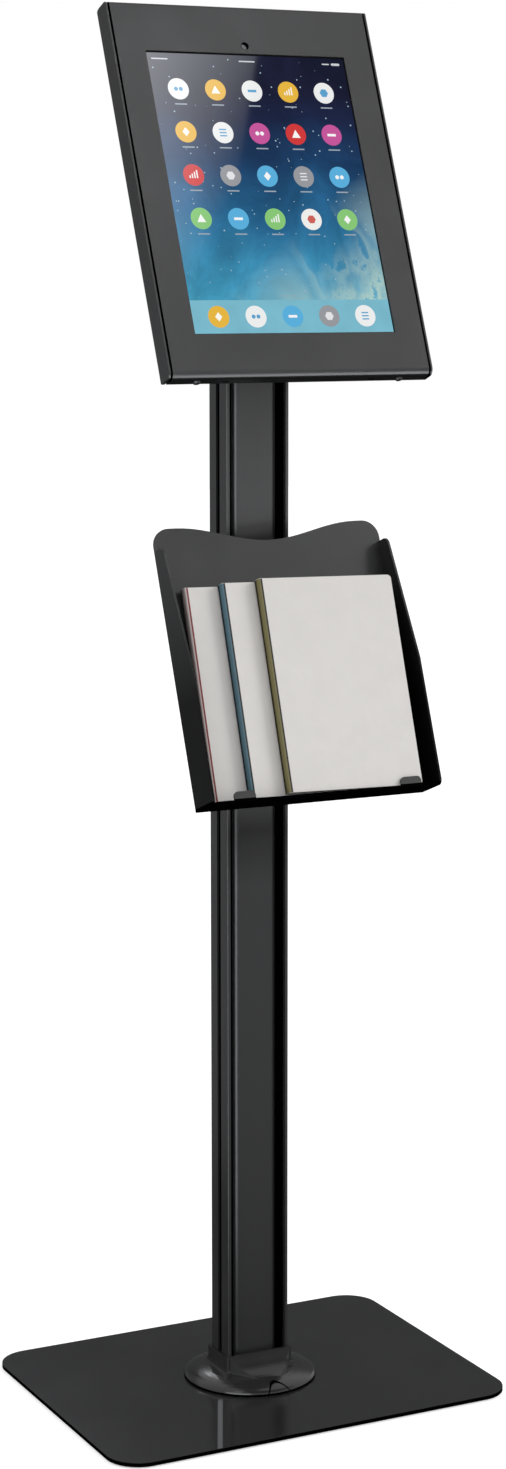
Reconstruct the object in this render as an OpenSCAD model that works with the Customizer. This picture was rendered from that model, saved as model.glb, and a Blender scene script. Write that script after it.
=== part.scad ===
/* [Base] */
// Width of the steel base plate
base_w = 304.8; // [220:0.2:420]
// Depth of the steel base plate
base_d = 228.6; // [180:0.2:340]
// Thickness of the steel base plate
base_t = 3; // [2.5:0.5:6]
// Corner radius of the base plate
base_r = 24; // [6:1:50]
// Thickness of the anti-slip mat under the base plate
mat_t = 1; // [0.5:0.5:3]
// How far the mat stays inside the edge of the base plate
mat_inset = 5; // [2:1:15]
// Radius of the thread of the screws that hold the column
base_screw_r = 2; // [1.6:0.1:2.1]
// Length of the thread of the column screws inside the column
base_screw_l = 18; // [10:1:30]

/* [Collar] */
// Radius of the round foot of the collar
collar_r = 47; // [42:0.5:60]
// Height of the collar above the base plate
collar_h = 21; // [17:0.5:32]
// Height of the dome where it meets the sleeve
dome_h = 10; // [7:0.5:12]
// Wall of the collar
collar_wall = 2.4; // [1.6:0.2:3]
// Width of the cable knock-out
knock_w = 19; // [10:0.5:24]
// Height of the cable knock-out
knock_h = 6.5; // [5:0.5:9]

/* [Column] */
// Length of the column extrusion
col_len = 785; // [600:5:1100]
// Width of the column extrusion
col_w = 47.4; // [47:0.2:56]
// Depth of the column extrusion
col_d = 26.8; // [26:0.2:34]
// Wall between the side slot and the front groove
col_lip = 2.4; // [1.6:0.2:3]
// Half width of the recessed front panel
panel_half = 16.7; // [14:0.1:17]
// How far the front panel lies behind the edges of the side walls
panel_step = 4.4; // [2:0.2:5]
// Radius of the long edges of the front panel
panel_r = 4.6; // [2.5:0.1:5]
// Depth of the grooves below the front panel
groove_deep = 2.5; // [1:0.1:3]
// Opening of the side T-slot
slot_w = 5.5; // [5.2:0.1:7]
// Inside width of the side T-slot
slot_in_w = 9.5; // [8.5:0.1:10]
// Depth of the wide part of the side T-slot
slot_in_d = 4; // [3.6:0.1:4.6]
// Lip of the side T-slot
slot_lip = 2; // [1.5:0.1:2.4]
// Width of the cable duct inside the column
duct_w = 16; // [10:0.5:17]
// Depth of the cable duct inside the column
duct_d = 12; // [8:0.5:13]
// Width of the cable notch at the foot of the column
notch_w = 9; // [6:0.5:12]
// Height of the cable notch at the foot of the column
notch_h = 7; // [5:0.5:7]

/* [Tilt joint] */
// Tilt of the enclosure from upright, at rest
tilt = 21.9; // [0:0.1:90]
// Height of the tilt axis above the top of the column
axis_rise = 32.5; // [30:0.5:50]
// Place of the tilt axis behind the middle of the column
axis_y = 8; // [6:0.5:12]
// Thickness of the ears and plates of the tilt joint
ear_t = 3; // [2:0.5:4]
// Radius of the round ends of the ears
ear_r = 11; // [9:0.5:13]
// Thickness of the friction washers in the tilt joint
washer_t = 0.7; // [0.5:0.1:1.5]
// Radius of the tilt bolt and of the rotation bolt
bolt_r = 4; // [3:0.5:5]
// Distance from the tilt axis to the back of the enclosure
back_gap = 27; // [25:0.5:40]
// Width of the square rotation plate
turn_w = 90; // [84:1:110]
// Spacing of the screws of the rotation plate
turn_pitch = 75; // [60:1:76]
// Thickness of the sliding disc in the rotation joint
disc_t = 1; // [0.5:0.1:2]
// Radius of the sliding disc in the rotation joint
disc_r = 18; // [12:1:20]

/* [Enclosure] */
// Space from each side of the tablet to the outside of the enclosure
side_room = 12.75; // [12.5:0.25:24]
// Space from the top and bottom of the tablet to the outside of the enclosure
end_room = 11.2; // [11.2:0.2:30]
// Depth of the enclosure
head_d = 17; // [16:0.5:26]
// Thickness of the sheet steel of the enclosure
sheet_t = 1.2; // [1:0.1:1.6]
// Bend radius at the left and right back edges of the enclosure
back_r = 3; // [3:0.5:8]
// Bend radius at the upper and lower back edges of the enclosure
pan_r = 4.6; // [3.1:0.5:7.6]
// Bend radius at the bottom of the front cover
chin_r = 5; // [3:0.5:6]
// Bend radius at the top of the front cover
brow_r = 2; // [1.8:0.1:5]
// Gap between the front cover and the side cheeks
seam = 1.2; // [0.5:0.1:2]
// Depth of the top and bottom flanges of the front cover
flange_d = 12; // [10:0.5:14]
// Width of the rim of the tablet that is covered at each side of the window
rim_side = 10.55; // [8.75:0.1:14.75]
// Height of the rim of the tablet that is covered above and below the window
rim_end = 20.8; // [19:0.1:25]
// How far the window lies below the middle of the enclosure
window_drop = 2.2; // [0:0.1:3]
// Radius of the camera hole
cam_r = 2.6; // [2.2:0.1:3]
// Distance of the camera hole from the top of the tablet
cam_in = 15.3; // [10:0.1:16]
// Distance of the security screws from the sides of the enclosure
lock_in = 22.5; // [13.5:0.5:37.5]
// Distance of the small slots from the sides of the enclosure
tab_slot_in = 43.5; // [41.5:0.5:67.5]
// Width of the cable slot in the back of the enclosure
entry_w = 26; // [18:1:40]
// Height of the cable slot in the back of the enclosure
entry_h = 12; // [8:0.5:14]
// Distance of the cable slot from the lower end of the enclosure
entry_in = 31.2; // [23.2:1:39.2]

/* [Tablet] */
// Width of the tablet
tab_w = 169.5; // [160:0.5:176]
// Height of the tablet
tab_h = 240; // [230:0.5:246]
// Thickness of the tablet with its glass
tab_t = 7.3; // [6:0.1:8]
// Corner radius of the tablet
tab_r = 12; // [6:0.5:16]
// Thickness of the front glass of the tablet
glass_t = 0.9; // [0.6:0.1:1.2]

/* [Tray] */
// Width of the brochure tray
tray_w = 171; // [150:1:220]
// Slope of the tray from upright
tray_tilt = 20.7; // [12:0.1:28]
// Height of the lower front edge of the tray panel above the floor
tray_z = 434.5; // [430:0.5:446]
// Distance of that edge in front of the middle of the column
tray_y = 93.6; // [86:0.2:110]
// Thickness of the sheet steel of the tray
tray_t = 1.5; // [1:0.1:2]
// Depth of the tray floor
floor_d = 27; // [27:0.5:40]
// Height of the two ears of the tray panel
ear_h = 192.5; // [180:0.5:230]
// Height of the dip between the ears
dip_h = 181.7; // [160:0.5:192]
// Distance of the ears from the sides of the tray
ear_in = 17.5; // [13.5:0.5:35.5]
// Corner radius of the tray panel
tray_r = 12; // [6:0.5:14]
// Height at which the side flanges begin to narrow
flange_low = 88; // [60:1:110]
// Height of the side flanges
flange_top = 177; // [150:1:178]
// Depth of the side flanges at their top
flange_tip = 13; // [9:0.5:18]
// Width of the two stop tabs on the tray floor
tab_stop_w = 15.5; // [10:0.5:24]
// Height of the two stop tabs
tab_stop_h = 5.5; // [4:0.5:14]
// Distance of the stop tabs from the sides of the tray
tab_stop_in = 23.5; // [15.5:0.5:45.5]

/* [Booklets] */
// Width of a booklet
book_w = 100; // [80:1:105]
// Height of a booklet
book_h = 145.5; // [120:0.5:160]
// Thickness of a booklet
book_t = 7.2; // [4:0.1:7.2]
// Thickness of the cover board of a booklet
board_t = 0.6; // [0.3:0.1:1]
// Corner radius of the free corners of a booklet
book_r = 3; // [1:0.5:6]
// Lean of the booklets to the side
book_lean = 1.2; // [0:0.1:2]
// Distance of the rear booklet from the left side of the tray
book_side = 9.5; // [5.5:0.5:25.5]
// How far each booklet steps to the right of the one behind it
book_step = 24; // [12:1:26]

/* [Fits] */
// Clearance of covers, pads and sliding fits
fit = 0.3; // [0.2:0.05:0.5]
// Radial clearance of bolts in their holes
bore_fit = 0.05; // [0.03:0.01:0.1]
// Gap between plates that turn against each other
face_fit = 0.1; // [0.05:0.05:0.2]

/* [Hidden] */
$fn = 64;

steel_black = [0.22, 0.22, 0.23];
plastic_black = [0.17, 0.17, 0.18];
zinc = [0.62, 0.63, 0.65];
rubber_black = [0.08, 0.08, 0.08];
paper_white = [0.93, 0.92, 0.89];
cover_grey = [0.84, 0.83, 0.81];

// A small overlap, and how far a cutter runs past a face
eps = 0.01;
cut = 1;

// Fasteners: head and socket radius as a share of the thread radius
head_share = 1.9;
socket_share = 0.65;
pan_head_h = 2.6;

// Heights above the floor
plate_top = mat_t + base_t;
col_top = plate_top + col_len;
axis_z = col_top + axis_rise;

// Column profile
side_x = col_w / 2;
front_y = col_d / 2;
panel_y = front_y - panel_step;
groove_y = panel_y - groove_deep;
groove_x = side_x - col_lip;
slot_x = side_x - slot_lip - slot_in_d;
port_x = 12.2;
port_y = 4.8;
port_r = base_screw_r + 0.1;
flush_h = 2.2;
flush_r = base_screw_r + flush_h;
col_edge_r = 0.8;
groove_r = 0.6;
duct_r = 2;

// Tilt joint
arm_half = side_x - ear_t - washer_t;
turn_t = 3;
disc_y = -back_gap + turn_t + face_fit;
arm_y = disc_y + disc_t + face_fit;
arm_back = arm_y + ear_t;
arm_h = 44;
spring_t = 1.6;
nut_h = 6.5;
nut_r = bolt_r * head_share;
thread_end = 1.2;
head_t = 3;
turn_screw_r = 2;
turn_r = 7;
clinch_t = 1.6;
pivot_head_t = 2;
pivot_head_r = 9;
arm_r = 3;
arm_root = arm_h / 2 - 4;

// Enclosure, in the frame of the tilt axis
head_w = tab_w + 2 * side_room;
head_h = tab_h + 2 * end_room;
window_w = tab_w - 2 * rim_side;
window_h = tab_h - 2 * rim_end;
lock_x = head_w / 2 - lock_in;
tab_slot_x = head_w / 2 - tab_slot_in;
entry_z = entry_in - head_h / 2;
head_front = -back_gap - head_d;
head_back = -back_gap;
cheek_in = head_w / 2 - sheet_t;
cover_half = cheek_in - seam;
shell_step = sheet_t + 0.2;
pan_half = head_h / 2 - shell_step;
pan_lip = chin_r + face_fit;
cheek_r = pan_r + shell_step;
wall_y = head_back - sheet_t;
window_z = -window_drop;
cam_z = window_z + tab_h / 2 - cam_in;
lock_y = head_front + 8.5;
lock_r = 1.5;
lock_hole_r = lock_r + 0.2;
lock_head_r = 2.7;
lock_head_t = 1.2;
cover_nut_r = 3.4;
cover_nut_t = 2.2;
lock_len = shell_step + sheet_t + cover_nut_t + 0.8;
tab_slot_w = 5;
tab_slot_d = 1.8;

// Tablet
glass_gap = 0.4;
glass_y = head_front + sheet_t + glass_gap;
case_y = glass_y + glass_t;
tab_back = glass_y + tab_t;
case_edge_r = 3;
lens_r = 2;
lens_sink = 0.1;
glass_step = 0.4;
pad_w = 48;
pad_in = 14;
foam_side = 25;
foam_end = 50;
foam_w = tab_w - 2 * foam_side;
foam_h = 24;
foam_z = tab_h / 2 - foam_end;

// Booklets
book_gap = 0.3;
book_in = 2.2;
book_x0 = book_side - tray_w / 2;
spine_r = 1.2;
fore_r = 0.3;
page_gap = 0.05;
page_side = board_t + page_gap;
page_in = 1;

// Tray
ear_x = tray_w / 2 - ear_in;
tab_stop_x = tray_w / 2 - tab_stop_in;
tray_floor_r = 4;
tray_foot_r = 6;
flange_lean = atan((floor_d - flange_tip) / (flange_top - flange_low));
flange_r = 6;
stop_r = 3;
web_t = 2;
web_low = 35;
web_high = 150;
web_back = tray_t + web_t;
cheek_x = side_x + fit;
cheek_out = cheek_x + web_t;
cheek_y = 8;
clamp_r = 2.5;
clamp_in = 14;
clamp_rise = 40;
clamp_low = web_low + clamp_rise;
clamp_gap = 0.6;
slot_nut_l = 12;
tray_screw_r = 2;
tray_screw_x = 16;
tray_screw_h = [55, 135];
tray_head_h = 1.5;
tray_nut_h = 3.2;

// World place of a point of the tray, from its distance behind the panel face and its height
function tray_pt(back, h) = [
    -tray_y + h * sin(tray_tilt) + back * cos(tray_tilt),
    tray_z + h * cos(tray_tilt) - back * sin(tray_tilt)
];
bracket_top = tray_pt(web_back, web_high)[1];
bracket_low = tray_pt(web_back, clamp_low)[1];
clamp_z = [bracket_low + clamp_in, bracket_top - clamp_in];

// Points of an arc, from angle a0 to angle a1
function arc(c, r, a0, a1, n) = [
    for (i = [0:n]) c + r * [cos(a0 + (a1 - a0) * i / n), sin(a0 + (a1 - a0) * i / n)]
];

// Tangent point on a circle seen from p, on side s
function touch(p, c, r, s) =
    let (d = c - p, a = atan2(d[1], d[0]) + s * asin(r / norm(d)), l = sqrt(d * d - r * r))
    p + l * [cos(a), sin(a)];

// Height of the top edge of the tray panel at a distance x from its middle
function wave(x) = dip_h + (ear_h - dip_h) * (1 - cos(180 * x / ear_x)) / 2;

// Rectangle with its own radius at each corner: lower left, lower right, upper right, upper left
module corner_rect(x0, x1, y0, y1, r) {
    xs = [x0, x1, x1, x0];
    ys = [y0, y0, y1, y1];
    sx = [1, -1, -1, 1];
    sy = [1, 1, -1, -1];
    difference() {
        translate([x0, y0]) square([x1 - x0, y1 - y0]);
        for (i = [0:3])
            if (r[i] > 0)
                translate([xs[i] - (sx[i] < 0 ? r[i] : cut), ys[i] - (sy[i] < 0 ? r[i] : cut)])
                    square(r[i] + cut);
    }
    for (i = [0:3])
        if (r[i] > 0) translate([xs[i] + sx[i] * r[i], ys[i] + sy[i] * r[i]]) circle(r[i]);
}

// Rectangle centred on the origin with equal corner radii
module round_rect(w, h, r) corner_rect(-w / 2, w / 2, -h / 2, h / 2, [r, r, r, r]);

// Slot with round ends, centred on the origin
module obround(w, h) {
    square([w - h, h], center = true);
    for (s = [-1, 1]) translate([s * (w - h) / 2, 0]) circle(h / 2);
}

// Profile in Y and Z, extruded along X from x0 to x1
module along_x(x0, x1) translate([x0, 0, 0]) rotate([90, 0, 90]) linear_extrude(x1 - x0) children();

// Profile in X and Z, extruded along Y from y0 to y1
module along_y(y0, y1) translate([0, y1, 0]) rotate([90, 0, 0]) linear_extrude(y1 - y0) children();

// Cylinder along Y from y0 to y1
module rod_y(x, z, r, y0, y1) translate([x, y1, z]) rotate([90, 0, 0]) cylinder(r = r, h = y1 - y0);

// Cylinder along X from x0 to x1
module rod_x(y, z, r, x0, x1) translate([x0, y, z]) rotate([0, 90, 0]) cylinder(r = r, h = x1 - x0);

// Countersunk head and shank along Z, with the flat of the head at the origin
module flush_form(r, length) {
    cylinder(r1 = r + flush_h, r2 = r, h = flush_h);
    cylinder(r = r, h = length);
}

// Countersunk screw of that form with a hexagonal socket
module flush_screw(r, length) difference() {
    flush_form(r, length);
    translate([0, 0, -eps]) cylinder(r = r * socket_share, h = flush_h * socket_share, $fn = 6);
}

// Screw along Z: the flat head rises from the origin, with a socket on top, and the shank goes down
module pan_screw(r, head_h, length) difference() {
    union() {
        cylinder(r = r * head_share, h = head_h);
        translate([0, 0, -length]) cylinder(r = r, h = length + eps);
    }
    translate([0, 0, head_h * (1 - socket_share)]) cylinder(r = r * socket_share, h = head_h, $fn = 6);
}

// Hexagonal nut along Z with its bore
module hex_nut(r, bore, h) difference() {
    cylinder(r = r, h = h, $fn = 6);
    translate([0, 0, -cut]) cylinder(r = bore, h = h + 2 * cut);
}

// Frame of the enclosure: origin on the tilt axis, front towards -Y
module at_head() translate([0, axis_y, axis_z]) rotate([-tilt, 0, 0]) children();

// Frame of the tray: origin on the lower front edge of the panel
module at_tray() translate([0, -tray_y, tray_z]) rotate([-tray_tilt, 0, 0]) children();

// Base

module base_plate() color(steel_black) difference() {
    translate([0, 0, mat_t]) linear_extrude(base_t) round_rect(base_w, base_d, base_r);
    for (x = [-port_x, port_x], y = [-port_y, port_y])
        translate([x, y, mat_t]) flush_form(base_screw_r + bore_fit, base_t + cut);
}

module base_mat() color(rubber_black) difference() {
    linear_extrude(mat_t) round_rect(base_w - 2 * mat_inset, base_d - 2 * mat_inset, base_r - mat_inset);
    for (x = [-port_x, port_x], y = [-port_y, port_y])
        translate([x, y, -cut]) cylinder(r = flush_r, h = mat_t + 2 * cut);
}

module base_screws() color(zinc)
    for (x = [-port_x, port_x], y = [-port_y, port_y])
        translate([x, y, mat_t]) flush_screw(base_screw_r, base_t + base_screw_l);

// Collar: a dome on the plate, a sleeve round the column and a ramp over the cable way

sleeve_x = side_x + collar_wall + fit;
sleeve_y = front_y + collar_wall + fit;
sleeve_r = 3;
rim_h = 1.5;
hollow_rim = 1;

// Height of the dome at a distance r from its middle
function dome_z(r) = rim_h + (dome_h - rim_h) * sqrt(max(0, 1 - pow(r / collar_r, 2)));

flare_r = 5;
flare_low = dome_z(norm([sleeve_x + flare_r, sleeve_y + flare_r]));
ramp_tip = 6.5;
ramp_out = 34;
ramp_end = 15;
ramp_sink = 0.4;
knock_c = knock_h - knock_w / 2;
knock_deep = 15;
knock_back = knock_deep - collar_r;

module dome(r, h, rim) rotate_extrude($fn = 96)
    polygon(concat([[0, 0], [r, 0]], [for (a = [0:7.5:82.5]) [r * cos(a), rim + (h - rim) * sin(a)]], [[0, h]]));

// Hollow arc of the ramp: down from the front edge of the sleeve, and into the dome at its toe
ramp_top = [-sleeve_y, collar_h];
ramp_toe = [-ramp_out, dome_z(ramp_out) - ramp_sink];
ramp_fall = atan2(ramp_top[1] - ramp_toe[1], ramp_top[0] - ramp_toe[0]);
ramp_start = 2 * ramp_fall - ramp_end;
ramp_r = norm(ramp_top - ramp_toe) / (2 * sin(ramp_fall - ramp_end));
ramp_c = ramp_top + ramp_r * [-sin(ramp_start), cos(ramp_start)];

module ramp() intersection() {
    along_x(-sleeve_x, sleeve_x) polygon(concat(
        arc(ramp_c, ramp_r, ramp_start - 90, ramp_end - 90, 12), [[-ramp_out, rim_h], [0, rim_h], [0, collar_h]]
    ));
    linear_extrude(collar_h) polygon([
        [-sleeve_x, 0], [-sleeve_x, sleeve_r - sleeve_y], [-ramp_tip, -ramp_out],
        [ramp_tip, -ramp_out], [sleeve_x, sleeve_r - sleeve_y], [sleeve_x, 0]
    ]);
}

// Sleeve of the given half width with a hollow flare at its foot
module flare_profile(half) polygon(concat(
    [[-half - flare_r, rim_h], [half + flare_r, rim_h]],
    arc([half + flare_r, flare_low + flare_r], flare_r, 270, 180, 8),
    arc([-half - flare_r, flare_low + flare_r], flare_r, 0, -90, 8)
));

module collar_outside() {
    dome(collar_r, dome_h, rim_h);
    linear_extrude(collar_h) round_rect(2 * sleeve_x, 2 * sleeve_y, sleeve_r);
    intersection() {
        along_x(-collar_r, collar_r) flare_profile(sleeve_y);
        along_y(-collar_r, collar_r) flare_profile(sleeve_x);
    }
    ramp();
}

// Hollow of the collar
module collar_inside() translate([0, 0, -eps]) dome(collar_r - collar_wall, dome_h - collar_wall, hollow_rim);

// Arch of the knock-out, cut off just below the plate
module knock_shape(grow) along_y(-collar_r - cut, knock_back) intersection() {
    union() {
        translate([0, knock_c]) circle(knock_w / 2 + grow);
        if (knock_c > 0) translate([-knock_w / 2 - grow, -cut]) square([knock_w + 2 * grow, cut + knock_c]);
    }
    translate([-knock_w, -cut]) square(2 * knock_w);
}

module base_collar() color(plastic_black) translate([0, 0, plate_top]) difference() {
    collar_outside();
    collar_inside();
    translate([0, 0, -eps]) linear_extrude(collar_h + cut) square([col_w + 2 * fit, col_d + 2 * fit], center = true);
    knock_shape(fit / 2);
}

module collar_knockout() color(plastic_black) translate([0, 0, plate_top]) difference() {
    intersection() {
        collar_outside();
        knock_shape(-fit / 2);
    }
    collar_inside();
}

// Column

module column_profile() difference() {
    round_rect(col_w, col_d, col_edge_r);
    for (s = [-1, 1]) scale([1, s]) {
        // Recess in front of the panel, with the long edges of the panel left round
        difference() {
            corner_rect(-groove_x, groove_x, groove_y, front_y + cut, [groove_r, groove_r, 0, 0]);
            corner_rect(-panel_half, panel_half, groove_y - cut, panel_y, [0, 0, panel_r, panel_r]);
        }
    }
    for (s = [-1, 1]) scale([s, 1]) {
        translate([slot_x, -slot_in_w / 2]) square([slot_in_d, slot_in_w]);
        translate([slot_x, -slot_w / 2]) square([slot_in_d + slot_lip + cut, slot_w]);
    }
    round_rect(duct_w, duct_d, duct_r);
    for (x = [-port_x, port_x], y = [-port_y, port_y]) translate([x, y]) circle(port_r);
}

// The notch at the foot lets a cable out of the duct into the hollow of the collar
module column() color(steel_black) translate([0, 0, plate_top]) difference() {
    linear_extrude(col_len) column_profile();
    translate([-notch_w / 2, -front_y - cut, -cut]) cube([notch_w, front_y + cut, notch_h + cut]);
}

// Tilt joint

module clevis_ear() difference() {
    union() {
        polygon([
            [-front_y, 0], [-front_y, ear_t],
            touch([-front_y, ear_t], [axis_y, axis_rise], ear_r, 1),
            [axis_y, axis_rise],
            touch([front_y, ear_t], [axis_y, axis_rise], ear_r, -1),
            [front_y, ear_t], [front_y, 0]
        ]);
        translate([axis_y, axis_rise]) circle(ear_r);
    }
    translate([axis_y, axis_rise]) circle(bolt_r + bore_fit);
}

module tilt_clevis() color(steel_black) translate([0, 0, col_top]) {
    difference() {
        linear_extrude(ear_t) difference() {
            square([2 * side_x - 2 * ear_t, col_d], center = true);
            round_rect(duct_w, duct_d, duct_r);
        }
        for (x = [-port_x, port_x], y = [-port_y, port_y])
            translate([x, y, -cut]) cylinder(r = base_screw_r + bore_fit, h = ear_t + 2 * cut);
    }
    for (s = [-1, 1]) along_x(s > 0 ? side_x - ear_t : -side_x, s > 0 ? side_x : ear_t - side_x) clevis_ear();
}

module clevis_screws() color(zinc)
    for (x = [-port_x, port_x], y = [-port_y, port_y])
        translate([x, y, col_top + ear_t]) pan_screw(base_screw_r, pan_head_h, ear_t + base_screw_l);

module tilt_bolt() color(zinc) translate([-side_x, axis_y, axis_z]) rotate([0, -90, 0])
    pan_screw(bolt_r, head_t, 2 * side_x + nut_h + thread_end);

module tilt_nut() color(zinc) translate([side_x, axis_y, axis_z]) rotate([0, 90, 0])
    hex_nut(nut_r, bolt_r + bore_fit, nut_h);

module tilt_washers() color(paper_white) for (s = [-1, 1]) scale([s, 1, 1]) difference() {
    rod_x(axis_y, axis_z, ear_r - cut, arm_half + face_fit / 2, side_x - ear_t);
    rod_x(axis_y, axis_z, bolt_r + bore_fit, 0, side_x);
}

module arm_ear() difference() {
    union() {
        polygon([
            [arm_back - eps, -arm_root], touch([arm_back, -arm_root], [0, 0], ear_r, -1), [0, 0],
            touch([arm_back, arm_root], [0, 0], ear_r, 1), [arm_back - eps, arm_root]
        ]);
        circle(ear_r);
    }
    circle(bolt_r + bore_fit);
}

module tilt_arm() color(steel_black) at_head() {
    difference() {
        along_y(arm_y, arm_back) round_rect(2 * arm_half, arm_h, arm_r);
        rod_y(0, 0, bolt_r + bore_fit, arm_y - cut, arm_back + cut);
    }
    for (s = [-1, 1]) along_x(s > 0 ? arm_half - ear_t : -arm_half, s > 0 ? arm_half : ear_t - arm_half) arm_ear();
}

module sliding_disc() color(paper_white) at_head() difference() {
    rod_y(0, 0, disc_r, disc_y, disc_y + disc_t);
    rod_y(0, 0, bolt_r + bore_fit, disc_y - cut, disc_y + disc_t + cut);
}

// Rotation joint

module at_turn_screws() for (x = [-turn_pitch / 2, turn_pitch / 2], z = [-turn_pitch / 2, turn_pitch / 2])
    translate([x, 0, z]) children();

module rotation_plate() color(steel_black) at_head() difference() {
    along_y(head_back, head_back + turn_t) round_rect(turn_w, turn_w, turn_r);
    rod_y(0, 0, bolt_r + bore_fit, head_back - cut, head_back + turn_t + cut);
    at_turn_screws() translate([0, head_back + turn_t, 0]) rotate([90, 0, 0])
        flush_form(turn_screw_r + bore_fit, turn_t + cut);
}

module plate_screws() color(zinc) at_head() at_turn_screws() translate([0, head_back + turn_t, 0])
    rotate([90, 0, 0]) flush_screw(turn_screw_r, turn_t + sheet_t + clinch_t + thread_end);

module clinch_nuts() color(zinc) at_head() at_turn_screws() difference() {
    rod_y(0, 0, turn_screw_r * 2, wall_y - clinch_t, wall_y);
    rod_y(0, 0, turn_screw_r + bore_fit, wall_y - clinch_t - cut, wall_y + cut);
}

module pivot_bolt() color(zinc) at_head() {
    rod_y(0, 0, pivot_head_r, head_back - pivot_head_t, head_back);
    rod_y(0, 0, bolt_r, head_back - eps, arm_back + spring_t + nut_h + thread_end);
}

module spring_washer() color(zinc) at_head() difference() {
    rod_y(0, 0, bolt_r * 2, arm_back + face_fit, arm_back + spring_t);
    rod_y(0, 0, bolt_r + bore_fit, arm_back - cut, arm_back + spring_t + cut);
}

module pivot_nut() color(zinc) at_head() translate([0, arm_back + spring_t, 0]) rotate([-90, 0, 0])
    hex_nut(nut_r, bolt_r + bore_fit, nut_h);

// Enclosure

module shell_solid() {
    // Side cheeks with the full outline, and the pan between them
    for (s = [-1, 1]) along_x(s > 0 ? cheek_in : -head_w / 2, s > 0 ? head_w / 2 : -cheek_in)
        corner_rect(head_front, head_back, -head_h / 2, head_h / 2, [chin_r, cheek_r, cheek_r, brow_r]);
    along_x(-cheek_in, cheek_in)
        corner_rect(head_front + pan_lip, head_back, -pan_half, pan_half, [0, pan_r, pan_r, 0]);
}

module back_shell() color(steel_black) at_head() difference() {
    intersection() {
        shell_solid();
        translate([0, 0, -head_h]) linear_extrude(2 * head_h)
            corner_rect(-head_w / 2, head_w / 2, head_front - cut, head_back, [0, 0, back_r, back_r]);
    }
    intersection() {
        along_x(-head_w, head_w)
            corner_rect(head_front - cut, wall_y, -pan_half + sheet_t, pan_half - sheet_t,
                [0, pan_r - sheet_t, pan_r - sheet_t, 0]);
        translate([0, 0, -head_h]) linear_extrude(2 * head_h)
            corner_rect(-cheek_in, cheek_in, head_front - 2 * cut, wall_y,
                [0, 0, back_r - sheet_t, back_r - sheet_t]);
    }
    rod_y(0, 0, pivot_head_r + cut, wall_y - cut, head_back + cut);
    at_turn_screws() rod_y(0, 0, turn_screw_r + bore_fit, wall_y - cut, head_back + cut);
    for (x = [-lock_x, lock_x]) translate([x, lock_y, -pan_half - cut]) cylinder(r = lock_hole_r, h = sheet_t + 2 * cut);
    translate([0, 0, entry_z]) along_y(wall_y - cut, head_back + cut)
        obround(entry_w, entry_h);
}

module front_cover() color(steel_black) at_head() difference() {
    along_x(-cover_half, cover_half) difference() {
        corner_rect(head_front, head_front + flange_d, -head_h / 2, head_h / 2, [chin_r, 0, 0, brow_r]);
        corner_rect(head_front + sheet_t, head_front + flange_d + cut, -head_h / 2 + sheet_t, head_h / 2 - sheet_t,
            [chin_r - sheet_t, 0, 0, brow_r - sheet_t]);
    }
    translate([-window_w / 2, head_front - cut, window_z - window_h / 2])
        cube([window_w, sheet_t + 2 * cut, window_h]);
    rod_y(0, cam_z, cam_r, head_front - cut, head_front + sheet_t + cut);
    for (x = [-lock_x, lock_x])
        translate([x, lock_y, -head_h / 2 - cut]) cylinder(r = lock_hole_r, h = sheet_t + 2 * cut);
    for (x = [-tab_slot_x, tab_slot_x])
        translate([x - tab_slot_w / 2, lock_y - tab_slot_d / 2, -head_h / 2 - cut])
            cube([tab_slot_w, tab_slot_d, sheet_t + 2 * cut]);
}

module security_screws() color(zinc) at_head() for (x = [-lock_x, lock_x])
    translate([x, lock_y, -head_h / 2]) difference() {
        union() {
            translate([0, 0, -lock_head_t]) cylinder(r1 = lock_head_r - 0.6, r2 = lock_head_r, h = lock_head_t);
            translate([0, 0, -eps]) cylinder(r = lock_r, h = lock_len);
        }
        translate([0, 0, -lock_head_t - eps]) difference() {
            cylinder(r = lock_r * 0.8, h = lock_head_t * socket_share, $fn = 6);
            cylinder(r = lock_r * 0.3, h = lock_head_t);
        }
    }

module cover_nuts() color(zinc) at_head() for (x = [-lock_x, lock_x])
    translate([x, lock_y, -pan_half + sheet_t]) difference() {
        cylinder(r = cover_nut_r, h = cover_nut_t);
        translate([0, 0, -cut]) cylinder(r = lock_r + bore_fit, h = cover_nut_t + 2 * cut);
    }

// Tablet and its padding

module tablet_outline(grow) translate([0, window_z]) round_rect(tab_w + 2 * grow, tab_h + 2 * grow, tab_r + grow);

module tablet_case() color([0.72, 0.73, 0.75]) at_head() intersection() {
    along_y(case_y, tab_back) tablet_outline(0);
    along_x(-tab_w / 2, tab_w / 2) corner_rect(case_y, tab_back, window_z - tab_h / 2, window_z + tab_h / 2,
        [0, case_edge_r, case_edge_r, 0]);
    translate([0, 0, window_z - tab_h / 2]) linear_extrude(tab_h)
        corner_rect(-tab_w / 2, tab_w / 2, case_y, tab_back, [0, 0, case_edge_r, case_edge_r]);
}

module tablet_glass() color([0.15, 0.35, 0.55]) at_head() difference() {
    along_y(glass_y, case_y) tablet_outline(-glass_step);
    rod_y(0, cam_z, lens_r + bore_fit, glass_y - cut, case_y + cut);
}

module tablet_camera() color([0.05, 0.05, 0.06]) at_head()
    rod_y(0, cam_z, lens_r, glass_y + lens_sink, case_y);

module corner_pads() color(rubber_black) at_head() for (sx = [-1, 1], sz = [-1, 1])
    intersection() {
        along_y(case_y + glass_gap, wall_y) difference() {
            square([2 * cheek_in - 2 * back_r, 2 * pan_half - 2 * pan_r], center = true);
            tablet_outline(fit);
        }
        translate([sx * (tab_w / 2 - pad_in), case_y, window_z + sz * (tab_h / 2 - pad_in)])
            cube([pad_w, 2 * head_d, pad_w], center = true);
    }

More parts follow.
